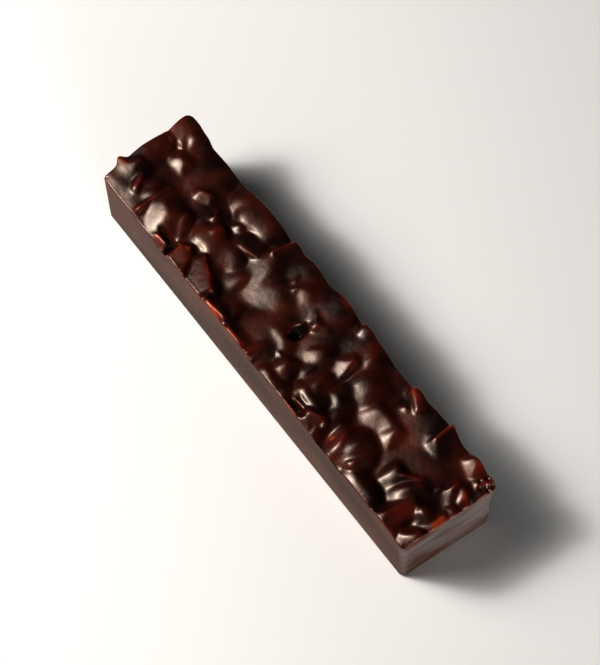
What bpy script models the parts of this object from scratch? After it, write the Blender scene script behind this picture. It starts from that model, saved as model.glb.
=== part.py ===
"""A bar of food coated in dark chocolate: smooth moulded sides and a top crowded with coated pieces of nut.

The frame has +X along the bar towards its near end, +Y across it and +Z up. The origin is the middle of
the flat base. The pieces of nut are listed in millimetres, and the mesh is built in metres.
"""

import bmesh
import bpy
import numpy as np

MM = 0.001

# The moulded block, in millimetres.
LENGTH = 132.0
WIDTH = 28.0
RIM_HEIGHT = 18.0
TAPER = 0.6
CORNER_RADIUS = 1.3
BASE_FILLET = 0.8
# A piece that hangs over is back in the wall this far below the rim.
OVERHANG_DEPTH = 3.0

# The chocolate between the pieces: its level against the rim, its slant across the bar, its climb towards the
# far long side, and the height of its slow waves.
POOL_LEVEL = -1.0
POOL_TILT = 0.04
POOL_CLIMB = 1.4
CLIMB_LENGTH = 7.0
POOL_WAVE = 0.16
# How softly the pieces and the pool run together, in millimetres of height.
JOIN = 0.16
# The width over which chocolate gathers in hollows, and over which it rounds every edge.
GATHER_WIDTH = 0.7
GATHER_JOIN = 0.15
COAT_WIDTH = 0.40

# Broken edges are never straight: the plan is bent by this much, in waves of about this length.
BEND = 0.3
BEND_LENGTH = 17.0

# Along the sides the coat bulges out over the edge of the mould, by this share of its height above the rim.
END_BULGE = 0.20
SIDE_BULGE = 0.15
BULGE_REACH = 1.5

# The relief is worked out on a fine grid and read at the mesh's own points.
RELIEF_STEP = 0.25
MARGIN = 2.5
CELLS_ALONG = 130
CELLS_ACROSS = 32

# How soft a kind's edges are, in millimetres of height, how steeply it is cut at its outline, and how much its
# flanks bow.
KINDS = {
    "lobe": (0.45, 1.3, 0.035),
    "chunk": (0.22, 2.2, 0.028),
    "shard": (0.10, 3.0, 0.012),
    "dome": (0.35, 0.58, 0.010),
    "swell": (0.60, 0.80, 0.0),
}

# One coated piece a line. Kind; x and y of its ridge's middle; height above the rim; half the ridge's length; its
# turn in degrees; how steeply the piece falls to the ridge's left, right, front and back; and how far from the
# ridge it is cut off.
PIECES = (
    ("chunk", -63.6, 12.6, 3.6, 1.6, 10, 0.30, 0.08, 0.60, 0.22, 5.4),
    ("lobe", -59.7, 11.5, 3.9, 0.3, 0, 0.55, 0.60, 0.55, 0.60, 1.6),
    ("shard", -65.0, 6.2, 2.8, 1.8, 12, 1.80, 0.60, 1.20, 0.30, 1.3),
    ("lobe", -64.8, 2.0, 2.9, 2.6, 92, 0.20, 0.45, 0.50, 0.40, 3.4),
    ("lobe", -65.0, -1.8, 2.4, 0.8, 85, 0.25, 0.50, 0.60, 0.40, 2.2),
    ("shard", -65.6, -7.6, 1.4, 2.0, 178, 1.20, 1.00, 1.50, 0.50, 1.0),
    ("shard", -62.9, -3.8, 2.9, 0.4, -88, 0.60, 0.55, 0.34, 1.20, 10.0),
    ("swell", -59.0, -10.4, 0.8, 6.0, -2, 0.20, 0.42, 0.25, 0.30, 8.0),
    ("shard", -58.4, -7.0, 2.1, 2.6, -50, 1.60, 0.42, 0.60, 0.80, 1.4),
    ("lobe", -55.6, -4.6, 2.0, 0.4, -80, 0.50, 0.50, 0.30, 0.80, 4.0),
    ("lobe", -53.6, -6.2, 2.2, 0.4, -88, 0.45, 0.60, 0.42, 0.80, 6.0),
    ("shard", -52.0, -7.4, 2.2, 3.8, -86, 1.60, 2.00, 0.70, 0.60, 1.3),
    ("swell", -47.4, -6.0, 3.0, 2.4, -2, 0.60, 0.54, 0.80, 0.90, 12.0),
    ("chunk", -56.8, 5.6, 2.5, 1.3, -3, 0.50, 0.50, 0.60, 0.50, 3.2),
    ("swell", -57.0, 0.5, 0.9, 3.0, 0, 0.10, 0.16, 0.25, 0.25, 6.0),
    ("chunk", -44.8, 4.3, 2.3, 1.4, 30, 1.60, 0.50, 0.80, 0.60, 1.8),
    ("swell", -42.5, 5.2, 0.9, 4.0, -4, 0.40, 0.06, 0.20, 0.20, 6.0),
    ("shard", -38.2, 3.2, 1.8, 1.2, -42, 1.20, 1.60, 1.30, 0.80, 1.0),
    ("lobe", -37.4, 2.6, 2.3, 0.1, 0, 0.80, 0.80, 0.80, 0.80, 0.8),
    ("chunk", -42.2, -3.8, 2.4, 0.6, -70, 0.90, 0.35, 0.44, 1.00, 7.5),
    ("swell", -50.3, 11.5, 1.9, 1.0, 0, 0.25, 0.17, 0.25, 0.25, 9.0),
    ("lobe", -36.2, 11.6, 2.7, 1.2, 0, 0.30, 0.38, 0.30, 0.35, 3.2),
    ("lobe", -29.5, 12.4, 3.2, 4.2, 3, 0.10, 0.12, 0.30, 0.25, 4.4),
    ("lobe", -32.1, 6.4, 2.1, 0.3, 0, 0.80, 0.70, 0.70, 0.70, 2.0),
    ("chunk", -40.9, -12.4, 0.9, 1.6, -3, 0.90, 1.20, 1.40, 0.80, 1.8),
    ("shard", -34.8, -9.2, 1.9, 1.2, 8, 2.50, 0.14, 1.00, 1.00, 5.0),
    ("shard", -31.8, -10.9, 1.8, 3.6, -52, 2.80, 0.36, 1.20, 1.60, 3.8),
    ("lobe", -33.9, 0.2, 2.6, 0.9, 88, 0.60, 0.60, 0.60, 0.70, 1.2),
    ("lobe", -33.0, -1.6, 2.0, 1.6, 0, 0.20, 0.12, 0.20, 0.20, 3.8),
    ("swell", -32.0, -6.4, 0.3, 4.0, 6, 0.05, 0.30, 0.30, 0.30, 3.0),
    ("shard", -24.9, -8.3, 1.8, 4.8, -24, 1.80, 0.24, 1.50, 1.50, 6.5),
    ("shard", -24.4, 3.2, 2.0, 3.0, 19, 0.02, 2.40, 1.60, 0.40, 4.5),
    ("chunk", -19.6, 10.5, 3.4, 3.3, 82, 3.00, 0.24, 0.10, 1.60, 9.0),
    ("swell", -18.0, 6.0, 2.8, 2.2, -22, 0.25, 0.48, 0.60, 1.20, 12.0),
    ("lobe", -27.2, 0.0, 1.8, 1.8, 24, 0.30, 0.34, 0.50, 0.35, 4.0),
    ("swell", -19.4, -1.2, 0.8, 0.6, -10, 0.30, 0.42, 1.20, 0.60, 12.0),
    ("swell", -10.2, 13.8, 3.5, 1.2, -10, 0.40, 0.30, 0.45, 0.50, 12.0),
    ("chunk", -9.9, 8.4, 2.8, 0.9, -65, 1.00, 1.00, 0.70, 0.80, 1.4),
    ("dome", -5.4, 8.2, 3.2, 1.2, 0, 0.30, 0.54, 0.40, 0.60, 4.2),
    ("lobe", -7.4, 7.1, 2.9, 1.0, 82, 1.10, 0.80, 0.70, 0.90, 1.2),
    ("swell", -9.8, 3.4, 2.3, 1.8, -14, 0.25, 0.39, 0.40, 0.50, 12.0),
    ("lobe", -2.6, 11.0, 2.7, 1.5, 70, 0.30, 0.45, 0.40, 0.22, 4.0),
    ("chunk", -15.6, -13.3, 1.2, 3.2, 2, 0.55, 1.60, 0.70, 0.70, 2.4),
    ("lobe", -11.8, -9.8, 0.6, 0.8, -65, 0.70, 0.70, 0.30, 0.50, 2.6),
    ("chunk", -6.2, -13.2, 1.2, 2.8, 2, 0.55, 0.80, 0.70, 0.70, 2.2),
    ("shard", -0.6, -10.6, 0.9, 2.4, -88, 0.80, 0.80, 0.50, 0.70, 1.0),
    ("swell", -3.4, 0.6, 1.4, 2.0, 88, 0.30, 0.30, 0.50, 0.22, 9.0),
    ("lobe", 0.2, -3.4, 1.6, 2.0, -4, 0.40, 0.56, 0.45, 0.50, 2.6),
    ("lobe", 2.4, 8.2, 2.8, 0.4, 0, 0.45, 1.30, 0.60, 0.70, 1.5),
    ("shard", 2.3, 5.7, 2.7, 1.5, -28, 0.30, 0.62, 0.60, 0.60, 1.2),
    ("shard", 4.9, 5.7, 2.8, 1.4, 30, 0.30, 0.62, 0.60, 0.60, 1.2),
    ("swell", 3.0, 13.6, 4.1, 1.6, 0, 0.30, 0.31, 0.50, 0.50, 12.0),
    ("lobe", 13.5, 13.9, 4.2, 0.5, 0, 0.30, 0.45, 0.45, 0.45, 1.2),
    ("swell", 16.0, 12.2, 3.0, 2.4, 0, 0.20, 0.30, 0.40, 0.40, 12.0),
    ("lobe", 20.2, 10.6, 3.1, 1.2, -55, 0.70, 0.45, 0.55, 0.60, 1.8),
    ("lobe", 19.5, 8.6, 2.3, 0.3, 10, 0.80, 0.80, 0.80, 0.80, 0.9),
    ("lobe", 10.9, 1.5, 2.2, 1.0, -28, 0.25, 0.32, 0.50, 1.10, 8.0),
    ("swell", 9.4, 4.8, 2.0, 1.5, -10, 0.50, 0.30, 0.40, 0.40, 12.0),
    ("lobe", 12.6, -3.2, 1.1, 0.6, -80, 0.60, 0.60, 0.32, 0.50, 4.0),
    ("chunk", 8.0, -7.5, 1.4, 0.5, -75, 0.40, 0.45, 0.46, 0.70, 3.2),
    ("shard", 5.2, -7.4, 0.4, 1.8, -10, 0.40, 1.20, 0.80, 0.80, 0.8),
    ("lobe", 13.4, -12.2, 0.7, 0.4, -80, 0.60, 0.60, 0.50, 0.60, 1.8),
    ("lobe", 8.6, -12.9, 0.4, 3.0, -2, 0.30, 0.60, 0.50, 0.50, 1.4),
    ("shard", 18.0, 5.9, 3.2, 0.4, -102, 1.20, 0.50, 0.44, 1.50, 7.5),
    ("lobe", 16.5, -1.6, 1.3, 0.4, -80, 0.45, 0.45, 0.50, 1.20, 3.0),
    ("chunk", 17.6, -3.8, 1.9, 0.8, -74, 0.50, 0.50, 0.52, 0.80, 5.0),
    ("chunk", 19.2, -5.8, 1.1, 2.6, -8, 0.30, 0.10, 0.50, 0.60, 3.2),
    ("shard", 19.9, -8.1, 1.2, 4.0, -5, 0.10, 0.55, 1.10, 0.80, 0.9),
    ("shard", 19.0, -10.7, 0.3, 2.6, 4, 0.30, 0.60, 0.50, 0.60, 0.9),
    ("shard", 23.0, -10.8, 1.9, 0.2, -76, 0.90, 0.90, 0.60, 1.20, 3.6),
    ("shard", 24.6, -10.0, 2.1, 1.0, 24, 0.80, 0.66, 0.50, 0.50, 1.6),
    ("lobe", 15.3, -8.8, 0.8, 0.5, -40, 0.70, 0.60, 0.60, 0.60, 1.2),
    ("chunk", 17.8, -13.5, 0.7, 2.4, 2, 0.50, 0.80, 0.60, 0.60, 1.2),
    ("lobe", 24.9, 5.8, 2.9, 1.2, -4, 0.25, 0.38, 0.35, 0.45, 5.2),
    ("chunk", 23.4, -2.3, 1.5, 1.2, -12, 0.35, 0.50, 0.60, 0.60, 2.6),
    ("lobe", 26.4, -4.8, 1.1, 1.2, -55, 0.50, 0.50, 0.36, 0.40, 4.6),
    ("lobe", 22.4, 0.4, 1.5, 1.2, -95, 0.50, 0.50, 0.40, 0.50, 1.4),
    ("lobe", 26.9, -11.6, 0.4, 0.8, -80, 0.80, 0.80, 0.60, 0.60, 1.8),
    ("swell", 35.4, 4.0, 2.0, 3.6, -3, 0.90, 0.48, 0.90, 0.80, 12.0),
    ("chunk", 39.8, 3.4, 2.5, 0.3, -86, 0.70, 0.60, 0.46, 1.00, 4.6),
    ("chunk", 36.9, 13.2, 3.4, 2.6, -28, 1.20, 0.00, 0.90, 0.45, 2.2),
    ("lobe", 36.0, 8.9, 2.6, 0.4, 0, 0.50, 0.90, 0.80, 0.80, 0.9),
    ("lobe", 33.4, -8.6, 2.0, 1.0, -60, 0.45, 0.90, 0.50, 0.60, 3.0),
    ("lobe", 37.0, -6.2, 2.8, 0.6, -92, 0.55, 0.55, 0.46, 0.70, 7.5),
    ("chunk", 40.0, -8.0, 1.9, 1.8, -82, 0.80, 0.80, 0.50, 0.50, 1.6),
    ("lobe", 46.0, -11.8, 0.8, 3.6, -8, 0.50, 0.45, 0.40, 0.70, 2.4),
    ("swell", 42.2, 12.6, 3.2, 1.8, -6, 0.15, 0.30, 0.40, 0.40, 12.0),
    ("lobe", 46.1, 10.2, 3.2, 0.4, -92, 0.60, 0.60, 0.48, 0.60, 2.8),
    ("shard", 47.4, 12.0, 4.4, 2.4, 88, 2.60, 0.50, 0.30, 0.90, 9.0),
    ("swell", 53.0, 9.5, 2.2, 3.0, 75, 0.16, 0.22, 0.20, 0.26, 12.0),
    ("chunk", 58.8, 13.6, 3.7, 0.8, -12, 0.50, 0.56, 0.75, 0.70, 3.0),
    ("chunk", 64.0, 12.4, 2.8, 1.6, 80, 0.50, 0.90, 0.60, 0.70, 2.6),
    ("lobe", 48.4, -2.2, 1.9, 0.6, 5, 0.90, 0.32, 0.60, 0.80, 7.0),
    ("shard", 52.6, -0.9, 2.1, 2.6, 34, 1.40, 0.90, 0.80, 0.60, 2.2),
    ("lobe", 55.2, -2.4, 2.5, 0.8, -108, 0.60, 0.60, 0.34, 0.50, 7.0),
    ("shard", 56.6, -8.4, 1.9, 3.4, -104, 0.36, 0.90, 0.50, 0.50, 5.0),
    ("lobe", 61.8, -4.2, 2.4, 0.8, -30, 0.60, 0.60, 0.80, 0.80, 1.8),
    ("shard", 60.2, 5.6, 3.0, 0.4, -90, 0.80, 1.40, 0.56, 1.00, 6.8),
    ("shard", 58.0, 2.6, 1.9, 0.3, -90, 1.20, 1.60, 0.60, 0.90, 3.4),
    ("chunk", 62.9, 6.2, 2.6, 0.8, -35, 0.60, 0.60, 0.70, 0.60, 1.6),
    ("lobe", 64.6, 1.8, 1.7, 0.6, 0, 0.60, 0.60, 0.70, 0.70, 1.4),
    ("chunk", 64.8, -2.6, 1.6, 1.6, -80, 0.80, 1.10, 0.50, 0.70, 1.6),
    ("lobe", 65.2, -6.6, 0.6, 0.7, 5, 0.60, 0.55, 0.80, 0.80, 1.0),
    ("chunk", 65.4, -9.0, 1.9, 0.3, -94, 0.40, 0.45, 0.50, 0.90, 5.4),
    ("chunk", 59.3, -12.9, 0.7, 0.8, 5, 0.60, 0.60, 0.60, 0.60, 1.0),
    ("chunk", 55.9, -13.3, 0.4, 0.4, 0, 0.60, 0.60, 0.60, 0.60, 0.8),
)

# Hollows that the chocolate left open: x, y, depth, and half-width along x and along y.
HOLLOWS = (
    (1.9, 0.1, 3.2, 1.6, 2.7),
    (-40.4, -10.6, 1.8, 3.0, 0.9),
    (-37.3, -12.2, 1.6, 0.9, 1.9),
    (19.4, -12.4, 1.8, 2.6, 0.7),
    (62.4, -8.2, 0.8, 2.0, 2.8),
)

# Where the coat hangs over: x, y, how far this reaches, and how far a crest 3 mm high leans in x and in y.
OVERHANGS = (
    (-63.5, 12.5, 2.5, -0.3, 0.2),
    (-65.8, -7.6, 0.9, -1.8, 0.0),
    (-24.8, 2.8, 2.6, 0.2, -0.6),
    (0.0, 0.6, 2.0, 0.4, 0.0),
    (19.9, -8.6, 3.0, 0.2, -0.6),
    (46.8, 13.0, 1.6, -0.4, 0.3),
)
LEAN_HEIGHT = 3.0


def bent(x, y):
    """The plan bent by crossing sine waves, so that no edge of a piece runs straight."""
    turn = 2 * np.pi / BEND_LENGTH
    along = np.sin(turn * (0.9 * y + 0.4 * x) + 1.0) + 0.6 * np.sin(turn * (1.7 * y - 0.8 * x) + 2.6)
    across = np.sin(turn * (0.8 * x - 0.5 * y) + 0.4) + 0.6 * np.sin(turn * (1.9 * x + 0.6 * y) + 4.1)
    return x + BEND * along, y + BEND * across


def piece_height(x, y, piece):
    """A crest less the softest maximum of five falls: one for each side of its ridge, and one past its cut.

    The piece also bows, by the square of the distance from its ridge.
    """
    kind, middle_x, middle_y, crest, half, turn, left, right, front, rear, cut = piece
    softness, steepness, bow = KINDS[kind]
    angle = np.radians(turn)
    along = (x - middle_x) * np.cos(angle) + (y - middle_y) * np.sin(angle)
    across = (y - middle_y) * np.cos(angle) - (x - middle_x) * np.sin(angle)
    away = np.hypot(np.clip(np.abs(along) - half, 0, None), across)
    cut_off = steepness * (away - cut)
    falls = (left * across, -right * across, front * (along - half), rear * (-along - half), cut_off)
    fall = np.array(falls) / softness
    most = fall.max(axis=0)
    return crest - bow * away**2 - softness * (most + np.log(np.exp(fall - most).sum(axis=0) / 2))


def pool_height(x, y):
    """The level of the chocolate between the pieces: slow waves on a slant that steepens to the far side."""
    waves = np.sin(0.31 * x + 0.5 * y) + np.sin(0.17 * x - 0.43 * y + 1.3)
    climb = POOL_CLIMB * np.exp((y - WIDTH / 2) / CLIMB_LENGTH)
    return POOL_LEVEL + POOL_TILT * y + climb + POOL_WAVE * waves


def hollow_depth(x, y):
    """Every hollow is a basin with a level floor: a bell curve of the square of its distance."""
    depth = np.zeros_like(x)
    for middle_x, middle_y, deep, half_x, half_y in HOLLOWS:
        away = ((x - middle_x) / half_x) ** 2 + ((y - middle_y) / half_y) ** 2
        depth += deep * np.exp(-(away**2))
    return depth


def overhang(x, y, risen):
    """How far the surface moves sideways: each lean fades with distance as a bell, and grows with height."""
    moved = np.zeros((2,) + x.shape)
    for middle_x, middle_y, reach, lean_x, lean_y in OVERHANGS:
        share = risen / LEAN_HEIGHT * np.exp(-((x - middle_x) ** 2 + (y - middle_y) ** 2) / (2 * reach**2))
        moved += np.array([lean_x, lean_y])[:, None, None] * share
    moved[0] += END_BULGE * risen * np.sign(x) * np.exp((np.abs(x) - LENGTH / 2) / BULGE_REACH)
    moved[1] += SIDE_BULGE * risen * np.sign(y) * np.exp((np.abs(y) - WIDTH / 2) / BULGE_REACH)
    return moved


def spread_out(field, width):
    """The field averaged with a bell-shaped weight of this width, along one way and then along the other."""
    reach = int(np.ceil(3 * width / RELIEF_STEP))
    weight = np.exp(-0.5 * (np.arange(-reach, reach + 1) * RELIEF_STEP / width) ** 2)
    weight /= weight.sum()
    padded = np.pad(field, reach, mode="edge")
    rows = sum(w * padded[:, k : k + field.shape[1]] for k, w in enumerate(weight))
    return sum(w * rows[k : k + field.shape[0], :] for k, w in enumerate(weight))


def relief():
    """The coated top on a fine grid: its height above the rim, and how far it leans in x and in y."""
    xs = np.arange(-LENGTH / 2 - MARGIN, LENGTH / 2 + MARGIN, RELIEF_STEP)
    ys = np.arange(-WIDTH / 2 - MARGIN, WIDTH / 2 + MARGIN, RELIEF_STEP)
    plan_x, plan_y = np.meshgrid(xs, ys, indexing="ij")
    x, y = bent(plan_x, plan_y)
    total = np.exp(pool_height(plan_x, plan_y) / JOIN)
    for piece in PIECES:
        total += np.exp(np.clip(piece_height(x, y, piece), -6, 6) / JOIN)
    height = JOIN * np.log(total)
    gathered = spread_out(height, GATHER_WIDTH)
    height = GATHER_JOIN * np.logaddexp(height / GATHER_JOIN, gathered / GATHER_JOIN)
    height = spread_out(height - hollow_depth(plan_x, plan_y), COAT_WIDTH)
    lean_x, lean_y = overhang(plan_x, plan_y, np.clip(height, 0, None))
    return xs, ys, height, spread_out(lean_x, COAT_WIDTH), spread_out(lean_y, COAT_WIDTH)


def read_field(xs, ys, field, x, y):
    """The field at any points, drawn straight between the four grid points round each."""
    across = np.clip((x - xs[0]) / RELIEF_STEP, 0, len(xs) - 1.001)
    up = np.clip((y - ys[0]) / RELIEF_STEP, 0, len(ys) - 1.001)
    i, j = across.astype(int), up.astype(int)
    s, t = across - i, up - j
    low = (1 - s) * field[i, j] + s * field[i + 1, j]
    high = (1 - s) * field[i, j + 1] + s * field[i + 1, j + 1]
    return (1 - t) * low + t * high


def plan_points(points):
    """Points of a square of side one as points of the rounded rectangle, the corners drawn in to an arc."""
    x, y = points[:, 0] * LENGTH, points[:, 1] * WIDTH
    past_x = np.clip(np.abs(x) - (LENGTH / 2 - CORNER_RADIUS), 0, None)
    past_y = np.clip(np.abs(y) - (WIDTH / 2 - CORNER_RADIUS), 0, None)
    far = np.hypot(past_x, past_y)
    shrink = np.where(far > 0, np.maximum(past_x, past_y) / np.maximum(far, 1e-9), 1.0)
    return x - np.sign(x) * past_x * (1 - shrink), y - np.sign(y) * past_y * (1 - shrink)


def top_surface(bm):
    """A grid laid over the plan and lifted to the relief. Returns the plan of each border vertex."""
    bmesh.ops.create_grid(bm, x_segments=CELLS_ALONG, y_segments=CELLS_ACROSS, size=0.5)
    bm.verts.ensure_lookup_table()
    x, y = plan_points(np.array([v.co for v in bm.verts]))
    xs, ys, height, lean_x, lean_y = relief()
    z = RIM_HEIGHT + read_field(xs, ys, height, x, y)
    moved_x = x + read_field(xs, ys, lean_x, x, y)
    moved_y = y + read_field(xs, ys, lean_y, x, y)
    for vertex, place in zip(bm.verts, np.stack([moved_x, moved_y, z], axis=1) * MM):
        vertex.co = place
    return {v: (x[v.index], y[v.index]) for v in bm.verts if v.is_boundary}


def add_walls(bm, outline):
    """Draws the rim down to the base, ring by ring, with a small fillet at the foot, and closes the base."""
    rings = (
        (RIM_HEIGHT - OVERHANG_DEPTH, 0.0),
        (BASE_FILLET, 0.0),
        (0.3 * BASE_FILLET, 0.3 * BASE_FILLET),
        (0.0, BASE_FILLET),
    )
    edges = [e for e in bm.edges if e.is_boundary]
    for height, fillet in rings:
        inset = TAPER * (1 - height / RIM_HEIGHT) + fillet
        made = bmesh.ops.extrude_edge_only(bm, edges=edges)["geom"]
        edges = [e for e in made if isinstance(e, bmesh.types.BMEdge) and e.is_boundary]
        lower = {}
        for face in (f for f in made if isinstance(f, bmesh.types.BMFace)):
            for edge in face.edges:
                above = [v for v in edge.verts if v in outline]
                below = [v for v in edge.verts if v not in outline]
                if above and below:
                    lower[below[0]] = outline[above[0]]
        for vertex, (x, y) in lower.items():
            shrunk = (x * (1 - 2 * inset / LENGTH), y * (1 - 2 * inset / WIDTH), height)
            vertex.co = [c * MM for c in shrunk]
        outline = lower
    bmesh.ops.edgeloop_fill(bm, edges=edges)
    bmesh.ops.recalc_face_normals(bm, faces=bm.faces)


def dark_chocolate():
    """Glossy dark chocolate, as a Principled BSDF."""
    material = bpy.data.materials.new("dark_chocolate")
    material.use_nodes = True
    shader = material.node_tree.nodes["Principled BSDF"]
    shader.inputs["Base Color"].default_value = (0.045, 0.016, 0.009, 1)
    shader.inputs["Roughness"].default_value = 0.22
    shader.inputs["Metallic"].default_value = 0.0
    return material


def coated_bar():
    bm = bmesh.new()
    outline = top_surface(bm)
    add_walls(bm, outline)
    mesh = bpy.data.meshes.new("coated_bar")
    bm.to_mesh(mesh)
    bm.free()
    mesh.materials.append(dark_chocolate())
    mesh.shade_smooth()
    mesh.set_sharp_from_angle(angle=np.radians(50))
    bar = bpy.data.objects.new("coated_bar", mesh)
    bpy.context.collection.objects.link(bar)
    return bar


for old in list(bpy.data.objects):
    bpy.data.objects.remove(old)
coated_bar()
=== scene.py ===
"""The chocolate-coated nut bar in its finished looks, on a pale table in soft studio light.

Lengths in the bar's own sections are in millimetres and are turned into metres where a mesh is made.
"""

import bpy
import numpy as np
from mathutils import Matrix


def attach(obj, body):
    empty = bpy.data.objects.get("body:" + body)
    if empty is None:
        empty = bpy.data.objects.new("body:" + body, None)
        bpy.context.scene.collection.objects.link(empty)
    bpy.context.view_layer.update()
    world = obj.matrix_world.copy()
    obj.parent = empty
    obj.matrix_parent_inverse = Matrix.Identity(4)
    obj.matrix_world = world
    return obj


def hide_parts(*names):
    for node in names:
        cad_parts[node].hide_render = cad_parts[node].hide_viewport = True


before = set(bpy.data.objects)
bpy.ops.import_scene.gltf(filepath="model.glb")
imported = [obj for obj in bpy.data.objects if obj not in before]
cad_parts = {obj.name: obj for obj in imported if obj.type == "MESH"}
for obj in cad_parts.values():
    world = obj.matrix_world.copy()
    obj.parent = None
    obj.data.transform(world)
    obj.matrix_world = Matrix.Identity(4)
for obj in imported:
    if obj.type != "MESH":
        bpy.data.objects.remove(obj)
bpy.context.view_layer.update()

# The pieces of nut. They are chopped almonds, pressed into the top of the bar while it is soft and then
# coated with it. Each is a ridge with four flanks. A lobe is a whole rounded bit, a chunk a cut one with
# blunt edges, a shard a thin sharp one, a dome a flat cap with a slanting border, and a swell lies deep.
# How soft a kind's edges are, in millimetres of height, how steeply it is cut at its outline, and how much
# its flanks bow.
KINDS = {
    "lobe": (0.45, 1.3, 0.035),
    "chunk": (0.22, 2.2, 0.028),
    "shard": (0.10, 3.0, 0.012),
    "dome": (0.35, 0.58, 0.010),
    "swell": (0.60, 0.80, 0.0),
}
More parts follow.
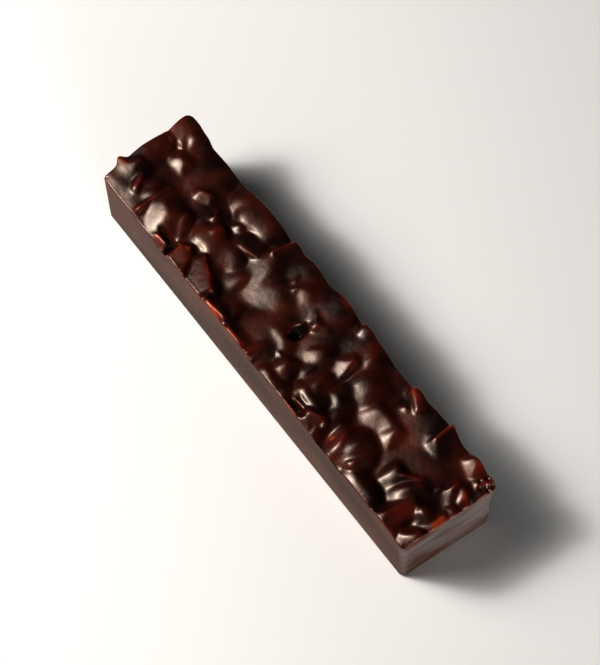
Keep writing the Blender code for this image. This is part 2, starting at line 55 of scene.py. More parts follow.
# Kind; x and y of the ridge's middle; height above the rim; half the ridge's length; its turn in degrees;
# how steeply the piece falls to the ridge's left, right, front and back; and how far from the ridge it is
# cut off.
PIECES = (
    ("chunk", -63.6, 12.6, 3.6, 1.6, 10, 0.30, 0.08, 0.60, 0.22, 5.4),
    ("lobe", -59.7, 11.5, 3.9, 0.3, 0, 0.55, 0.60, 0.55, 0.60, 1.6),
    ("shard", -65.0, 6.2, 2.8, 1.8, 12, 1.80, 0.60, 1.20, 0.30, 1.3),
    ("lobe", -64.8, 2.0, 2.9, 2.6, 92, 0.20, 0.45, 0.50, 0.40, 3.4),
    ("lobe", -65.0, -1.8, 2.4, 0.8, 85, 0.25, 0.50, 0.60, 0.40, 2.2),
    ("shard", -65.6, -7.6, 1.4, 2.0, 178, 1.20, 1.00, 1.50, 0.50, 1.0),
    ("shard", -62.9, -3.8, 2.9, 0.4, -88, 0.60, 0.55, 0.34, 1.20, 10.0),
    ("swell", -59.0, -10.4, 0.8, 6.0, -2, 0.20, 0.42, 0.25, 0.30, 8.0),
    ("shard", -58.4, -7.0, 2.1, 2.6, -50, 1.60, 0.42, 0.60, 0.80, 1.4),
    ("lobe", -55.6, -4.6, 2.0, 0.4, -80, 0.50, 0.50, 0.30, 0.80, 4.0),
    ("lobe", -53.6, -6.2, 2.2, 0.4, -88, 0.45, 0.60, 0.42, 0.80, 6.0),
    ("shard", -52.0, -7.4, 2.2, 3.8, -86, 1.60, 2.00, 0.70, 0.60, 1.3),
    ("swell", -47.4, -6.0, 3.0, 2.4, -2, 0.60, 0.54, 0.80, 0.90, 12.0),
    ("chunk", -56.8, 5.6, 2.5, 1.3, -3, 0.50, 0.50, 0.60, 0.50, 3.2),
    ("swell", -57.0, 0.5, 0.9, 3.0, 0, 0.10, 0.16, 0.25, 0.25, 6.0),
    ("chunk", -44.8, 4.3, 2.3, 1.4, 30, 1.60, 0.50, 0.80, 0.60, 1.8),
    ("swell", -42.5, 5.2, 0.9, 4.0, -4, 0.40, 0.06, 0.20, 0.20, 6.0),
    ("shard", -38.2, 3.2, 1.8, 1.2, -42, 1.20, 1.60, 1.30, 0.80, 1.0),
    ("lobe", -37.4, 2.6, 2.3, 0.1, 0, 0.80, 0.80, 0.80, 0.80, 0.8),
    ("chunk", -42.2, -3.8, 2.4, 0.6, -70, 0.90, 0.35, 0.44, 1.00, 7.5),
    ("swell", -50.3, 11.5, 1.9, 1.0, 0, 0.25, 0.17, 0.25, 0.25, 9.0),
    ("lobe", -36.2, 11.6, 2.7, 1.2, 0, 0.30, 0.38, 0.30, 0.35, 3.2),
    ("lobe", -29.5, 12.4, 3.2, 4.2, 3, 0.10, 0.12, 0.30, 0.25, 4.4),
    ("lobe", -32.1, 6.4, 2.1, 0.3, 0, 0.80, 0.70, 0.70, 0.70, 2.0),
    ("chunk", -40.9, -12.4, 0.9, 1.6, -3, 0.90, 1.20, 1.40, 0.80, 1.8),
    ("shard", -34.8, -9.2, 1.9, 1.2, 8, 2.50, 0.14, 1.00, 1.00, 5.0),
    ("shard", -31.8, -10.9, 1.8, 3.6, -52, 2.80, 0.36, 1.20, 1.60, 3.8),
    ("lobe", -33.9, 0.2, 2.6, 0.9, 88, 0.60, 0.60, 0.60, 0.70, 1.2),
    ("lobe", -33.0, -1.6, 2.0, 1.6, 0, 0.20, 0.12, 0.20, 0.20, 3.8),
    ("swell", -32.0, -6.4, 0.3, 4.0, 6, 0.05, 0.30, 0.30, 0.30, 3.0),
    ("shard", -24.9, -8.3, 1.8, 4.8, -24, 1.80, 0.24, 1.50, 1.50, 6.5),
    ("shard", -24.4, 3.2, 2.0, 3.0, 19, 0.02, 2.40, 1.60, 0.40, 4.5),
    ("chunk", -19.6, 10.5, 3.4, 3.3, 82, 3.00, 0.24, 0.10, 1.60, 9.0),
    ("swell", -18.0, 6.0, 2.8, 2.2, -22, 0.25, 0.48, 0.60, 1.20, 12.0),
    ("lobe", -27.2, 0.0, 1.8, 1.8, 24, 0.30, 0.34, 0.50, 0.35, 4.0),
    ("swell", -19.4, -1.2, 0.8, 0.6, -10, 0.30, 0.42, 1.20, 0.60, 12.0),
    ("swell", -10.2, 13.8, 3.5, 1.2, -10, 0.40, 0.30, 0.45, 0.50, 12.0),
    ("chunk", -9.9, 8.4, 2.8, 0.9, -65, 1.00, 1.00, 0.70, 0.80, 1.4),
    ("dome", -5.4, 8.2, 3.2, 1.2, 0, 0.30, 0.54, 0.40, 0.60, 4.2),
    ("lobe", -7.4, 7.1, 2.9, 1.0, 82, 1.10, 0.80, 0.70, 0.90, 1.2),
    ("swell", -9.8, 3.4, 2.3, 1.8, -14, 0.25, 0.39, 0.40, 0.50, 12.0),
    ("lobe", -2.6, 11.0, 2.7, 1.5, 70, 0.30, 0.45, 0.40, 0.22, 4.0),
    ("chunk", -15.6, -13.3, 1.2, 3.2, 2, 0.55, 1.60, 0.70, 0.70, 2.4),
    ("lobe", -11.8, -9.8, 0.6, 0.8, -65, 0.70, 0.70, 0.30, 0.50, 2.6),
    ("chunk", -6.2, -13.2, 1.2, 2.8, 2, 0.55, 0.80, 0.70, 0.70, 2.2),
    ("shard", -0.6, -10.6, 0.9, 2.4, -88, 0.80, 0.80, 0.50, 0.70, 1.0),
    ("swell", -3.4, 0.6, 1.4, 2.0, 88, 0.30, 0.30, 0.50, 0.22, 9.0),
    ("lobe", 0.2, -3.4, 1.6, 2.0, -4, 0.40, 0.56, 0.45, 0.50, 2.6),
    ("lobe", 2.4, 8.2, 2.8, 0.4, 0, 0.45, 1.30, 0.60, 0.70, 1.5),
    ("shard", 2.3, 5.7, 2.7, 1.5, -28, 0.30, 0.62, 0.60, 0.60, 1.2),
    ("shard", 4.9, 5.7, 2.8, 1.4, 30, 0.30, 0.62, 0.60, 0.60, 1.2),
    ("swell", 3.0, 13.6, 4.1, 1.6, 0, 0.30, 0.31, 0.50, 0.50, 12.0),
    ("lobe", 13.5, 13.9, 4.2, 0.5, 0, 0.30, 0.45, 0.45, 0.45, 1.2),
    ("swell", 16.0, 12.2, 3.0, 2.4, 0, 0.20, 0.30, 0.40, 0.40, 12.0),
    ("lobe", 20.2, 10.6, 3.1, 1.2, -55, 0.70, 0.45, 0.55, 0.60, 1.8),
    ("lobe", 19.5, 8.6, 2.3, 0.3, 10, 0.80, 0.80, 0.80, 0.80, 0.9),
    ("lobe", 10.9, 1.5, 2.2, 1.0, -28, 0.25, 0.32, 0.50, 1.10, 8.0),
    ("swell", 9.4, 4.8, 2.0, 1.5, -10, 0.50, 0.30, 0.40, 0.40, 12.0),
    ("lobe", 12.6, -3.2, 1.1, 0.6, -80, 0.60, 0.60, 0.32, 0.50, 4.0),
    ("chunk", 8.0, -7.5, 1.4, 0.5, -75, 0.40, 0.45, 0.46, 0.70, 3.2),
    ("shard", 5.2, -7.4, 0.4, 1.8, -10, 0.40, 1.20, 0.80, 0.80, 0.8),
    ("lobe", 13.4, -12.2, 0.7, 0.4, -80, 0.60, 0.60, 0.50, 0.60, 1.8),
    ("lobe", 8.6, -12.9, 0.4, 3.0, -2, 0.30, 0.60, 0.50, 0.50, 1.4),
    ("shard", 18.0, 5.9, 3.2, 0.4, -102, 1.20, 0.50, 0.44, 1.50, 7.5),
    ("lobe", 16.5, -1.6, 1.3, 0.4, -80, 0.45, 0.45, 0.50, 1.20, 3.0),
    ("chunk", 17.6, -3.8, 1.9, 0.8, -74, 0.50, 0.50, 0.52, 0.80, 5.0),
    ("chunk", 19.2, -5.8, 1.1, 2.6, -8, 0.30, 0.10, 0.50, 0.60, 3.2),
    ("shard", 19.9, -8.1, 1.2, 4.0, -5, 0.10, 0.55, 1.10, 0.80, 0.9),
    ("shard", 19.0, -10.7, 0.3, 2.6, 4, 0.30, 0.60, 0.50, 0.60, 0.9),
    ("shard", 23.0, -10.8, 1.9, 0.2, -76, 0.90, 0.90, 0.60, 1.20, 3.6),
    ("shard", 24.6, -10.0, 2.1, 1.0, 24, 0.80, 0.66, 0.50, 0.50, 1.6),
    ("lobe", 15.3, -8.8, 0.8, 0.5, -40, 0.70, 0.60, 0.60, 0.60, 1.2),
    ("chunk", 17.8, -13.5, 0.7, 2.4, 2, 0.50, 0.80, 0.60, 0.60, 1.2),
    ("lobe", 24.9, 5.8, 2.9, 1.2, -4, 0.25, 0.38, 0.35, 0.45, 5.2),
    ("chunk", 23.4, -2.3, 1.5, 1.2, -12, 0.35, 0.50, 0.60, 0.60, 2.6),
    ("lobe", 26.4, -4.8, 1.1, 1.2, -55, 0.50, 0.50, 0.36, 0.40, 4.6),
    ("lobe", 22.4, 0.4, 1.5, 1.2, -95, 0.50, 0.50, 0.40, 0.50, 1.4),
    ("lobe", 26.9, -11.6, 0.4, 0.8, -80, 0.80, 0.80, 0.60, 0.60, 1.8),
    ("swell", 35.4, 4.0, 2.0, 3.6, -3, 0.90, 0.48, 0.90, 0.80, 12.0),
    ("chunk", 39.8, 3.4, 2.5, 0.3, -86, 0.70, 0.60, 0.46, 1.00, 4.6),
    ("chunk", 36.9, 13.2, 3.4, 2.6, -28, 1.20, 0.00, 0.90, 0.45, 2.2),
    ("lobe", 36.0, 8.9, 2.6, 0.4, 0, 0.50, 0.90, 0.80, 0.80, 0.9),
    ("lobe", 33.4, -8.6, 2.0, 1.0, -60, 0.45, 0.90, 0.50, 0.60, 3.0),
    ("lobe", 37.0, -6.2, 2.8, 0.6, -92, 0.55, 0.55, 0.46, 0.70, 7.5),
    ("chunk", 40.0, -8.0, 1.9, 1.8, -82, 0.80, 0.80, 0.50, 0.50, 1.6),
    ("lobe", 46.0, -11.8, 0.8, 3.6, -8, 0.50, 0.45, 0.40, 0.70, 2.4),
    ("swell", 42.2, 12.6, 3.2, 1.8, -6, 0.15, 0.30, 0.40, 0.40, 12.0),
    ("lobe", 46.1, 10.2, 3.2, 0.4, -92, 0.60, 0.60, 0.48, 0.60, 2.8),
    ("shard", 47.4, 12.0, 4.4, 2.4, 88, 2.60, 0.50, 0.30, 0.90, 9.0),
    ("swell", 53.0, 9.5, 2.2, 3.0, 75, 0.16, 0.22, 0.20, 0.26, 12.0),
    ("chunk", 58.8, 13.6, 3.7, 0.8, -12, 0.50, 0.56, 0.75, 0.70, 3.0),
    ("chunk", 64.0, 12.4, 2.8, 1.6, 80, 0.50, 0.90, 0.60, 0.70, 2.6),
    ("lobe", 48.4, -2.2, 1.9, 0.6, 5, 0.90, 0.32, 0.60, 0.80, 7.0),
    ("shard", 52.6, -0.9, 2.1, 2.6, 34, 1.40, 0.90, 0.80, 0.60, 2.2),
    ("lobe", 55.2, -2.4, 2.5, 0.8, -108, 0.60, 0.60, 0.34, 0.50, 7.0),
    ("shard", 56.6, -8.4, 1.9, 3.4, -104, 0.36, 0.90, 0.50, 0.50, 5.0),
    ("lobe", 61.8, -4.2, 2.4, 0.8, -30, 0.60, 0.60, 0.80, 0.80, 1.8),
    ("shard", 60.2, 5.6, 3.0, 0.4, -90, 0.80, 1.40, 0.56, 1.00, 6.8),
    ("shard", 58.0, 2.6, 1.9, 0.3, -90, 1.20, 1.60, 0.60, 0.90, 3.4),
    ("chunk", 62.9, 6.2, 2.6, 0.8, -35, 0.60, 0.60, 0.70, 0.60, 1.6),
    ("lobe", 64.6, 1.8, 1.7, 0.6, 0, 0.60, 0.60, 0.70, 0.70, 1.4),
    ("chunk", 64.8, -2.6, 1.6, 1.6, -80, 0.80, 1.10, 0.50, 0.70, 1.6),
    ("lobe", 65.2, -6.6, 0.6, 0.7, 5, 0.60, 0.55, 0.80, 0.80, 1.0),
    ("chunk", 65.4, -9.0, 1.9, 0.3, -94, 0.40, 0.45, 0.50, 0.90, 5.4),
    ("chunk", 59.3, -12.9, 0.7, 0.8, 5, 0.60, 0.60, 0.60, 0.60, 1.0),
    ("chunk", 55.9, -13.3, 0.4, 0.4, 0, 0.60, 0.60, 0.60, 0.60, 0.8),
)
# On its ridge two flanks meet, and there a piece has its full height.
FLANKS_AT_RIDGE = 2
# Broken edges are never straight: the plan is bent by this much, in waves of about this length. A wave a
# line: how fast it turns along x and along y, where it starts, and its share.
BEND = 0.3
BEND_LENGTH = 17.0
BENDS_ALONG = (
    (0.4, 0.9, 1.0, 1.0),
    (-0.8, 1.7, 2.6, 0.6),
)
BENDS_ACROSS = (
    (0.8, -0.5, 0.4, 1.0),
    (1.9, 0.6, 4.1, 0.6),
)


def crossing_waves(x, y, waves):
    """The sum of sine waves, each with its own rate along x and along y, its start and its share."""
    return sum(share * np.sin(rate_x * x + rate_y * y + start) for rate_x, rate_y, start, share in waves)


def bent(x, y):
    """The plan bent by crossing sine waves, so that no edge of a piece runs straight."""
    turn = 2 * np.pi / BEND_LENGTH
    along = crossing_waves(turn * x, turn * y, BENDS_ALONG)
    across = crossing_waves(turn * x, turn * y, BENDS_ACROSS)
    return x + BEND * along, y + BEND * across


def piece_height(x, y, piece):
    """A crest less the softest maximum of five falls: one for each side of its ridge, and one past its cut.

    The piece also bows, by the square of the distance from its ridge.
    """
    kind, middle_x, middle_y, crest, half, turn, left, right, front, rear, cut = piece
    softness, steepness, bow = KINDS[kind]
    angle = np.radians(turn)
    along = (x - middle_x) * np.cos(angle) + (y - middle_y) * np.sin(angle)
    across = (y - middle_y) * np.cos(angle) - (x - middle_x) * np.sin(angle)
    away = np.hypot(np.clip(np.abs(along) - half, 0, None), across)
    cut_off = steepness * (away - cut)
    falls = (left * across, -right * across, front * (along - half), rear * (-along - half), cut_off)
    fall = np.array(falls) / softness
    most = fall.max(axis=0)
    rest = np.log(np.exp(fall - most).sum(axis=0) / FLANKS_AT_RIDGE)
    return crest - bow * away**2 - softness * (most + rest)


# The chocolate that runs between the pieces. It lies in slow waves a little under the rim, climbs towards the
# far long side, and gathers in a soft fillet at the foot of every piece.
POOL_LEVEL = -1.0
POOL_TILT = 0.04
POOL_CLIMB = 1.4
CLIMB_LENGTH = 7.0
POOL_WAVE = 0.16
POOL_WAVES = (
    (0.31, 0.5, 0.0, 1.0),
    (0.17, -0.43, 1.3, 1.0),
)
# How softly pieces and pool run together. No piece counts as lower or higher than the limit there, which is
# well below the pool and above every crest, so that the sum stays in range.
JOIN = 0.16
JOIN_LIMIT = 6.0
GATHER_WIDTH = 0.7
GATHER_JOIN = 0.15
COAT_WIDTH = 0.30


def pool_height(x, y):
    """The level of the chocolate between the pieces: slow waves on a slant that steepens to the far side."""
    climb = POOL_CLIMB * np.exp((y - WIDTH / 2) / CLIMB_LENGTH)
    return POOL_LEVEL + POOL_TILT * y + climb + POOL_WAVE * crossing_waves(x, y, POOL_WAVES)


# Hollows that the chocolate left open: x, y, depth, and half-width along x and along y. The last five are
# small pits in the far corner of the near end.
HOLLOWS = (
    (1.9, 0.1, 3.2, 1.6, 2.7),
    (-40.4, -10.6, 1.8, 3.0, 0.9),
    (-37.3, -12.2, 1.6, 0.9, 1.9),
    (19.4, -12.4, 1.8, 2.6, 0.7),
    (62.4, -8.2, 0.8, 2.0, 2.8),
    (63.4, 13.2, 1.2, 0.5, 0.4),
    (64.9, 12.0, 1.4, 0.6, 0.4),
    (62.9, 11.4, 1.0, 0.4, 0.4),
    (65.2, 13.5, 1.0, 0.4, 0.5),
    (64.2, 10.6, 0.9, 0.5, 0.4),
)


def hollow_depth(x, y):
    """Every hollow is a basin with a level floor: a bell curve of the square of its distance."""
    depth = np.zeros_like(x)
    for middle_x, middle_y, deep, half_x, half_y in HOLLOWS:
        away = ((x - middle_x) / half_x) ** 2 + ((y - middle_y) / half_y) ** 2
        depth += deep * np.exp(-(away**2))
    return depth


# Where the coat is so thin that the nut's skin colours it: x, y, half-width along x and along y, and by how
# much.
THIN_PLACES = (
    (-65.4, -7.7, 1.8, 0.7, 1.0),
    (-66.0, 9.5, 2.4, 3.6, 0.40),
    (-52.0, -8.2, 0.3, 4.0, 0.80),
    (-58.3, -7.5, 1.2, 2.6, 0.40),
    (-41.6, -12.9, 1.7, 0.5, 1.0),
    (-34.9, -8.8, 1.6, 0.5, 0.90),
    (-34.6, -11.4, 2.0, 2.2, 0.50),
    (-31.9, -10.6, 1.2, 1.6, 0.60),
    (-33.2, 0.2, 2.2, 2.4, 0.35),
    (-25.0, 3.4, 3.0, 1.0, 0.35),
    (-25.0, -9.5, 4.5, 3.5, 0.40),
    (-15.6, -13.4, 3.6, 0.6, 0.80),
    (-6.4, -13.5, 3.2, 0.5, 0.80),
    (2.4, 7.6, 2.0, 1.4, 0.45),
    (3.6, 13.6, 2.4, 1.6, 0.40),
    (17.5, 11.5, 2.8, 2.6, 0.45),
    (16.0, -0.5, 0.9, 4.0, 0.35),
    (31.0, -10.2, 0.8, 1.0, 1.0),
    (33.6, -9.0, 2.4, 3.0, 0.35),
    (36.0, 12.6, 3.4, 1.6, 0.45),
    (47.5, 12.0, 0.6, 3.4, 0.25),
    (53.0, -0.8, 2.6, 1.2, 0.40),
    (58.3, -8.5, 2.2, 3.6, 0.60),
    (60.5, 12.4, 2.6, 2.4, 0.40),
    (63.4, 5.6, 1.8, 2.2, 0.50),
    (65.2, -3.0, 0.9, 2.6, 1.0),
)
# It is thin too where the surface stands out from its average over this width, from the one height to the
# other, and at the rim, where it fades inwards over this distance. Over crests and at the rim the share also
# paints on a glow of light through thin chocolate, and at the rim a highlight.
THIN_AND_GLOW_OVER_CRESTS = 0.5
CREST_WIDTH = 0.7
CREST_FROM = 0.05
CREST_TO = 0.30
# Painted glow and highlight along the thin edge of the rim.
GLOW_AND_HIGHLIGHT_AT_RIM = 0.5
RIM_FADE = 0.4


def thin_and_glow_share(x, y, height, inside, step):
    """How thin the coat is, with its painted glow: by how far the surface stands out, by the rim's nearness
    and at each place.
    """
    stands_out = height - spread_out(height, step, CREST_WIDTH)
    share = THIN_AND_GLOW_OVER_CRESTS * np.clip((stands_out - CREST_FROM) / (CREST_TO - CREST_FROM), 0, 1)
    share += GLOW_AND_HIGHLIGHT_AT_RIM * np.exp(-inside / RIM_FADE)
    for middle_x, middle_y, half_x, half_y, most in THIN_PLACES:
        share += most * np.exp(-(((x - middle_x) / half_x) ** 2) - ((y - middle_y) / half_y) ** 2)
    return np.clip(share, 0, 1)


# Where the coat hangs over: x, y, how far this reaches, and how far a crest as high as LEAN_HEIGHT leans in x
# and in y. Along the sides it also bulges out past the mould, by a share of its height above the rim.
OVERHANGS = (
    (-63.5, 12.5, 2.5, -0.6, 0.2),
    (-65.8, -7.6, 0.9, -4.5, 0.0),
    (-24.8, 2.8, 2.6, 0.2, -0.7),
    (0.0, 0.6, 2.0, 0.5, 0.0),
    (19.9, -8.6, 3.0, 0.2, -0.7),
    (46.8, 13.0, 1.6, -0.4, 0.4),
)
LEAN_HEIGHT = 3.0
END_BULGE = 0.32
SIDE_BULGE = 0.18
BULGE_REACH = 1.5


def overhang(x, y, risen):
    """How far the surface moves sideways: each lean fades with distance as a bell, and grows with height."""
    moved = np.zeros((2,) + x.shape)
    for middle_x, middle_y, reach, lean_x, lean_y in OVERHANGS:
        bell = np.exp(-((x - middle_x) ** 2 + (y - middle_y) ** 2) / (2 * reach**2))
        moved += np.array([lean_x, lean_y])[:, None, None] * risen / LEAN_HEIGHT * bell
    moved[0] += END_BULGE * risen * np.sign(x) * np.exp((np.abs(x) - LENGTH / 2) / BULGE_REACH)
    moved[1] += SIDE_BULGE * risen * np.sign(y) * np.exp((np.abs(y) - WIDTH / 2) / BULGE_REACH)
    return moved


def spread_out(field, step, width):
    """The field averaged with a bell-shaped weight of this width, along one way and then along the other."""
    reach = int(np.ceil(3 * width / step))
    weight = np.exp(-0.5 * (np.arange(-reach, reach + 1) * step / width) ** 2)
    weight /= weight.sum()
    padded = np.pad(field, reach, mode="edge")
    rows = sum(w * padded[:, k : k + field.shape[1]] for k, w in enumerate(weight))
    return sum(w * rows[k : k + field.shape[0], :] for k, w in enumerate(weight))


# The moulded block. Its long sides and ends are smooth, because they set against a mould. They draw in a
# little towards the base, and a small fillet runs round the foot. The top has one vertex every 0.22 mm.
MM = 0.001
LENGTH = 132.0
WIDTH = 28.0
RIM_HEIGHT = 18.0
TAPER = 0.6
CORNER_RADIUS = 1.3
BASE_FILLET = 0.8
RIM_ROUND = 0.25
CELLS_ALONG = 600
CELLS_ACROSS = 128
WALL_HEIGHTS = (17.2, 16.4, 15.0, 12.5, 9.5, 6.5, 3.5, 1.6, 0.8, 0.45, 0.2, 0.05, 0.0)
# Too small to see: it keeps a divisor off zero, and what is under a root above it.
TINY = 1e-12


def plan_grid():
    """Where the vertices of the top lie in a plain rectangle, in rows along the bar."""
    u = np.linspace(-LENGTH / 2, LENGTH / 2, CELLS_ALONG + 1)
    v = np.linspace(-WIDTH / 2, WIDTH / 2, CELLS_ACROSS + 1)
    return np.meshgrid(u, v, indexing="ij")


def plan(u, v):
    """Points of a rectangle as points of the rounded one: past a corner's centre each moves in to an arc."""
    past_x = np.clip(np.abs(u) - (LENGTH / 2 - CORNER_RADIUS), 0, None)
    past_y = np.clip(np.abs(v) - (WIDTH / 2 - CORNER_RADIUS), 0, None)
    far = np.maximum(np.hypot(past_x, past_y), TINY)
    kept = np.where(past_x + past_y > 0, np.maximum(past_x, past_y) / far, 1.0)
    return u - np.sign(u) * past_x * (1 - kept), v - np.sign(v) * past_y * (1 - kept)


def coated_top():
    """Over a grid in plan: the soft union of pool and pieces, filled by its average and blurred by the coat.

    Near the rim the height falls along a quarter circle, and the crest of each leaning piece moves sideways.
    Returns points in rows along the bar, and how thin the coat is at each, a share that also carries the
    painted glow.
    """
    step = LENGTH / CELLS_ALONG
    u, v = plan_grid()
    x, y = bent(u, v)
    total = np.exp(pool_height(u, v) / JOIN)
    for piece in PIECES:
        total += np.exp(np.clip(piece_height(x, y, piece), -JOIN_LIMIT, JOIN_LIMIT) / JOIN)
    height = JOIN * np.log(total)
    gathered = spread_out(height, step, GATHER_WIDTH)
    height = GATHER_JOIN * np.logaddexp(height / GATHER_JOIN, gathered / GATHER_JOIN)
    height = spread_out(height - hollow_depth(u, v), step, COAT_WIDTH)
    inside = np.minimum(LENGTH / 2 - np.abs(u), WIDTH / 2 - np.abs(v))
    thin_and_glow = thin_and_glow_share(u, v, height, inside, step)
    reach = np.clip(RIM_ROUND - inside, 0, RIM_ROUND)
    height = height - (RIM_ROUND - np.sqrt(RIM_ROUND**2 - reach**2 + TINY))
    leans = overhang(u, v, np.clip(height, 0, None))
    lean_x, lean_y = (spread_out(lean, step, COAT_WIDTH) for lean in leans)
    x, y = plan(u, v)
    return np.stack([x + lean_x, y + lean_y, RIM_HEIGHT + height], axis=-1), thin_and_glow


def rim_loop(grid):
    """The border of a grid of values, once round, in the order in which the walls hang from it."""
    return np.concatenate([grid[:-1, 0], grid[-1, :-1], grid[:0:-1, -1], grid[0, :0:-1]])


def wall(rim_plan, height):
    """A ring of the wall: the rim's plan drawn in by the taper, and near the foot by a quarter circle."""
    below = np.clip(BASE_FILLET - height, 0, BASE_FILLET)
    fillet = BASE_FILLET - np.sqrt(BASE_FILLET**2 - below**2)
    inset = TAPER * (1 - height / RIM_HEIGHT) + fillet
    scale = 1 - 2 * inset / np.array([LENGTH, WIDTH])
    return np.column_stack([rim_plan * scale, np.full(len(rim_plan), height)])


def block_mesh(name):
    """The coated top, the rings of the wall that hang from its border, and one face for the base."""
    top, thin_and_glow = coated_top()
    rows, columns = top.shape[:2]
    index = np.arange(rows * columns).reshape(rows, columns)
    loop = rim_loop(index)
    rim_plan = rim_loop(np.stack(plan(*plan_grid()), axis=-1))
    rings = [wall(rim_plan, height) for height in WALL_HEIGHTS]
    points = np.concatenate([top.reshape(-1, 3), *rings]) * MM
    cells = [index[:-1, :-1], index[1:, :-1], index[1:, 1:], index[:-1, 1:]]
    quads = [np.stack(cells, axis=-1).reshape(-1, 4)]
    above = loop
    for ring in range(len(rings)):
        below = rows * columns + ring * len(loop) + np.arange(len(loop))
        quads.append(np.column_stack([above, below, np.roll(below, -1), np.roll(above, -1)]))
        above = below
    mesh = bpy.data.meshes.new(name)
    mesh.from_pydata(points, [], [*np.concatenate(quads).tolist(), above[::-1].tolist()])
    mesh.shade_smooth()
    mesh.polygons.foreach_set("material_index", np.arange(len(mesh.polygons)) >= len(quads[0]))
    # The share of thin coat, which also carries the painted glow, goes to the shaders.
    coat = mesh.attributes.new("thin_coat_and_glow", "FLOAT", "POINT")
    coat.data.foreach_set("value", np.concatenate([thin_and_glow.ravel(), np.zeros(len(points) - thin_and_glow.size)]))
    return mesh


bar = bpy.data.objects.new("chocolate_bar", block_mesh("chocolate_bar"))
bpy.context.collection.objects.link(bar)


def ripple_group():
    """A normal with fine ripples: those of a noise of this scale, as deep as this in metres."""
    group = bpy.data.node_groups.new("ripples", "ShaderNodeTree")
    group.interface.new_socket("Scale", in_out="INPUT", socket_type="NodeSocketFloat")
    group.interface.new_socket("Depth", in_out="INPUT", socket_type="NodeSocketFloat")
    group.interface.new_socket("Normal", in_out="OUTPUT", socket_type="NodeSocketVector")
    nodes, links = group.nodes, group.links
    given, result = nodes.new("NodeGroupInput"), nodes.new("NodeGroupOutput")
    place_at = nodes.new("ShaderNodeTexCoord")
    noise = nodes.new("ShaderNodeTexNoise")
    noise.inputs["Detail"].default_value = 3
    noise.inputs["Roughness"].default_value = 0.45
    depth = nodes.new("ShaderNodeMath")
    depth.operation = "MULTIPLY"
    bump = nodes.new("ShaderNodeBump")
    bump.inputs["Distance"].default_value = 1
    links.new(place_at.outputs["Object"], noise.inputs["Vector"])
    links.new(given.outputs["Scale"], noise.inputs["Scale"])
    links.new(noise.outputs["Fac"], depth.inputs[0])
    links.new(given.outputs["Depth"], depth.inputs[1])
    links.new(depth.outputs["Value"], bump.inputs["Height"])
    links.new(bump.outputs["Normal"], result.inputs["Normal"])
    return group


ripples = ripple_group()


def tinted(nodes, links, factor, under, over):
    """Mixes a colour over another by a factor; each colour is a socket or a constant."""
    mix = nodes.new("ShaderNodeMix")
    mix.data_type = "RGBA"
    links.new(factor, mix.inputs["Factor"])
    for given, socket in ((under, mix.inputs["A"]), (over, mix.inputs["B"])):
        if isinstance(given, tuple):
            socket.default_value = given
        else:
            links.new(given, socket)
    return mix.outputs["Result"]


def ranged(nodes, links, value, low, high):
    """A value taken from this range to 0 ... 1."""
    part = nodes.new("ShaderNodeMapRange")
    part.inputs["From Min"].default_value = low
    part.inputs["From Max"].default_value = high
    links.new(value, part.inputs["Value"])
    return part.outputs["Result"]


def noise_of(nodes, links, scale, stretch):
    """A noise in the object's own space, with features of one over its scale, drawn out by a stretch."""
    place_at = nodes.new("ShaderNodeTexCoord")
    mapping = nodes.new("ShaderNodeMapping")
    mapping.inputs["Scale"].default_value = stretch
    noise = nodes.new("ShaderNodeTexNoise")
    noise.inputs["Scale"].default_value = scale
    links.new(place_at.outputs["Object"], mapping.inputs["Vector"])
    links.new(mapping.outputs["Vector"], noise.inputs["Vector"])
    return noise.outputs["Fac"]


def product(nodes, links, first, second):
    """Two values multiplied."""
    part = nodes.new("ShaderNodeMath")
    part.operation = "MULTIPLY"
    links.new(first, part.inputs[0])
    links.new(second, part.inputs[1])
    return part.outputs["Value"]


def thin_coat_and_glow(nodes):
    """The share of thin coat that the mesh carries, with its painted glow over crests and at the rim."""
    part = nodes.new("ShaderNodeAttribute")
    part.attribute_name = "thin_coat_and_glow"
    return part.outputs["Fac"]


def rippled(nodes, scale, depth):
    """The ripples' normal, at this scale and this deep."""
    part = nodes.new("ShaderNodeGroup")
    part.node_tree = ripples
    part.inputs["Scale"].default_value = scale
    part.inputs["Depth"].default_value = depth
    return part.outputs["Normal"]


# The glossy coat on top is dark where it is deep, red where it thins over a crest, and lets the nut's orange
# skin through on the sharpest edges. The red is partly the thin coat's own colour and partly painted glow of
# light through thin chocolate. Its gloss is in two layers: a broad sheen and a wet shine over it.
EVEN = (1, 1, 1)
DEEP_DARK = (0.012, 0.0006, 0.0003, 1)
DEEP_BROWN = (0.072, 0.0115, 0.0045, 1)
# Partly the thin coat's red, partly painted glow of light through it.
THIN_RED_AND_GLOW = (0.095, 0.008, 0.003, 1)
NUT_SKIN = (0.27, 0.055, 0.018, 1)


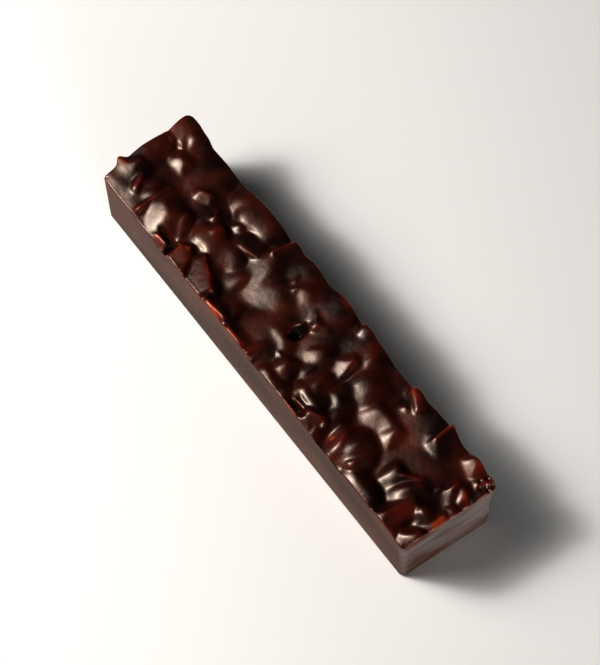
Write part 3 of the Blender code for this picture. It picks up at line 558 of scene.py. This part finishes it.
def glossy_coat():
    material = bpy.data.materials.new("glossy_coat")
    material.use_nodes = True
    nodes, links = material.node_tree.nodes, material.node_tree.links
    shader = nodes["Principled BSDF"]
    thin_and_glow = thin_coat_and_glow(nodes)
    mottle = ranged(nodes, links, noise_of(nodes, links, 110, EVEN), 0.40, 0.70)
    deep = tinted(nodes, links, mottle, DEEP_DARK, DEEP_BROWN)
    # Crests and the rim turn red: thin coat, with painted glow.
    red = tinted(nodes, links, ranged(nodes, links, thin_and_glow, 0.15, 0.6), deep, THIN_RED_AND_GLOW)
    bare = ranged(nodes, links, thin_and_glow, 0.55, 0.95)
    patches = ranged(nodes, links, noise_of(nodes, links, 170, EVEN), 0.38, 0.55)
    skin = tinted(nodes, links, product(nodes, links, bare, patches), red, NUT_SKIN)
    links.new(skin, shader.inputs["Base Color"])
    links.new(rippled(nodes, 420, 0.00016), shader.inputs["Normal"])
    shader.inputs["Roughness"].default_value = 0.38
    shader.inputs["Specular IOR Level"].default_value = 0.45
    shader.inputs["Specular Tint"].default_value = (1, 0.86, 0.78, 1)
    shader.inputs["Coat Weight"].default_value = 0.30
    shader.inputs["Coat Roughness"].default_value = 0.20
    return material


# The moulded sides are satin and browner, with faint streaks along the mould and a few pale specks. The near
# end is scuffed grey, from nothing to the full at these distances inside its rim; the grey is partly real
# scuffs and partly painted sheen, the pale reflection on the end.
SCUFFS_AND_SHEEN_START = 2.0
SCUFFS_AND_SHEEN_FULL = 0.8
SIDE_DARK = (0.034, 0.010, 0.004, 1)
SIDE_BROWN = (0.088, 0.036, 0.019, 1)
SPECK_PALE = (0.13, 0.075, 0.055, 1)
# Grey of the scuffs, which also paints on part of the end's pale sheen.
SCUFF_AND_SHEEN_GREY = (0.155, 0.140, 0.145, 1)
# The top edge of the sides is orange: painted glow and highlight of the thin rim.
RIM_GLOW_AND_HIGHLIGHT = (0.20, 0.05, 0.02, 1)
STREAK_STRETCH = (1, 1, 4)
SCUFF_AND_SHEEN_STRETCH = (1, 0.7, 2.2)


def moulded_side():
    material = bpy.data.materials.new("moulded_side")
    material.use_nodes = True
    nodes, links = material.node_tree.nodes, material.node_tree.links
    shader = nodes["Principled BSDF"]
    streaks = ranged(nodes, links, noise_of(nodes, links, 30, STREAK_STRETCH), 0.32, 0.68)
    body = tinted(nodes, links, streaks, SIDE_DARK, SIDE_BROWN)
    specks = nodes.new("ShaderNodeTexVoronoi")
    specks.inputs["Scale"].default_value = 260
    place_at = nodes.new("ShaderNodeTexCoord")
    links.new(place_at.outputs["Object"], specks.inputs["Vector"])
    speck = ranged(nodes, links, specks.outputs["Distance"], 0.11, 0.05)
    body = tinted(nodes, links, speck, body, SPECK_PALE)
    apart = nodes.new("ShaderNodeSeparateXYZ")
    links.new(place_at.outputs["Object"], apart.inputs["Vector"])
    starts, full = ((LENGTH / 2 - inside) * MM for inside in (SCUFFS_AND_SHEEN_START, SCUFFS_AND_SHEEN_FULL))
    at_end = ranged(nodes, links, apart.outputs["X"], starts, full)
    # Scuffs at the near end, partly painted sheen.
    scuffs_and_sheen = ranged(nodes, links, noise_of(nodes, links, 70, SCUFF_AND_SHEEN_STRETCH), 0.34, 0.66)
    body = tinted(nodes, links, product(nodes, links, at_end, scuffs_and_sheen), body, SCUFF_AND_SHEEN_GREY)
    # Painted glow and highlight along the rim's edge, by the share that the mesh carries.
    links.new(tinted(nodes, links, thin_coat_and_glow(nodes), body, RIM_GLOW_AND_HIGHLIGHT), shader.inputs["Base Color"])
    links.new(rippled(nodes, 260, 0.00004), shader.inputs["Normal"])
    shader.inputs["Roughness"].default_value = 0.42
    shader.inputs["Specular IOR Level"].default_value = 0.16
    return material


bar.data.materials.append(glossy_coat())
bar.data.materials.append(moulded_side())
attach(bar, "root")
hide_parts("coated_bar")

# The table: a plain pale top, wide enough to fill the view. Its half-width is in metres.
TABLE_HALF = 3
floor_mesh = bpy.data.meshes.new("table")
table_corners = [(x * TABLE_HALF, y * TABLE_HALF, 0) for x, y in ((-1, -1), (1, -1), (1, 1), (-1, 1))]
floor_mesh.from_pydata(table_corners, [], [(0, 1, 2, 3)])
table = bpy.data.objects.new("table", floor_mesh)
bpy.context.collection.objects.link(table)
pale = bpy.data.materials.new("pale_table")
pale.use_nodes = True
pale.node_tree.nodes["Principled BSDF"].inputs["Base Color"].default_value = (0.80, 0.86, 0.93, 1)
pale.node_tree.nodes["Principled BSDF"].inputs["Roughness"].default_value = 0.7
table.data.materials.append(pale)

# The camera looks down on the bar over its near end, through a long lens, as in the picture. It stands in
# metres from the middle of the base, and is moved a little to the right and up in its own view.
AZIMUTH, ELEVATION = np.radians(54.59), np.radians(59.89)
DISTANCE = 0.7733
SHIFT_RIGHT, SHIFT_UP = 0.00177, 0.00803
FOCAL_LENGTH = 180
SENSOR_WIDTH = 36
FARTHEST_SEEN = 20
level = np.cos(ELEVATION)
back = np.array([np.sin(AZIMUTH) * level, -np.cos(AZIMUTH) * level, np.sin(ELEVATION)])
right = np.array([np.cos(AZIMUTH), np.sin(AZIMUTH), 0.0])
up = np.cross(back, right)


def place(thing, position, backward, upward=(0, 0, 1)):
    """Puts a lamp or a camera at a position, its back along one direction and its top towards another."""
    z = np.array(backward) / np.linalg.norm(backward)
    x = np.cross(upward, z)
    x /= np.linalg.norm(x)
    turned = np.eye(4)
    turned[:3, :3] = np.column_stack([x, np.cross(z, x), z])
    turned[:3, 3] = position
    thing.matrix_world = Matrix(turned)
    bpy.context.collection.objects.link(thing)


lens = bpy.data.cameras.new("camera")
lens.lens = FOCAL_LENGTH
lens.sensor_width = SENSOR_WIDTH
lens.sensor_fit = "HORIZONTAL"
lens.clip_end = FARTHEST_SEEN
camera = bpy.data.objects.new("camera", lens)
place(camera, right * SHIFT_RIGHT + up * SHIFT_UP + back * DISTANCE, back)
bpy.context.scene.camera = camera

# Studio light: a large softbox on the left with a hot middle, a dim one above it, and a low one that lights
# the near end. The room is dark, so that the slopes that face away from the softbox go black. Name;
# direction; distance, width and height in metres; and power in watts.
KEY_FROM = (-0.50, -0.56, 0.66)
LAMPS = (
    ("softbox", KEY_FROM, 0.80, 0.50, 0.40, 3.4),
    ("warm_middle", KEY_FROM, 0.79, 0.26, 0.22, 1.8),
    ("hot_middle", KEY_FROM, 0.78, 0.10, 0.10, 1.2),
    ("overhead", (-0.50, -0.25, 0.83), 1.1, 0.5, 0.5, 0.4),
    ("low_fill", (0.97, -0.22, 0.12), 1.2, 0.6, 0.3, 10.0),
)
LAMP_COLOUR = (1.0, 0.90, 0.80)
ROOM_STRENGTH = 0.02
EXPOSURE = 0.65
GAMMA = 0.74
for name, direction, distance, wide, tall, power in LAMPS:
    lamp = bpy.data.lights.new(name, "AREA")
    lamp.shape = "RECTANGLE"
    lamp.size = wide
    lamp.size_y = tall
    lamp.energy = power
    lamp.color = LAMP_COLOUR
    place(bpy.data.objects.new(name, lamp), np.array(direction) * distance, direction)
world = bpy.data.worlds.new("studio")
world.use_nodes = True
world.node_tree.nodes["Background"].inputs["Color"].default_value = (1, 1, 1, 1)
world.node_tree.nodes["Background"].inputs["Strength"].default_value = ROOM_STRENGTH
bpy.context.scene.world = world
bpy.context.scene.view_settings.view_transform = "Standard"
bpy.context.scene.view_settings.exposure = EXPOSURE
bpy.context.scene.view_settings.gamma = GAMMA
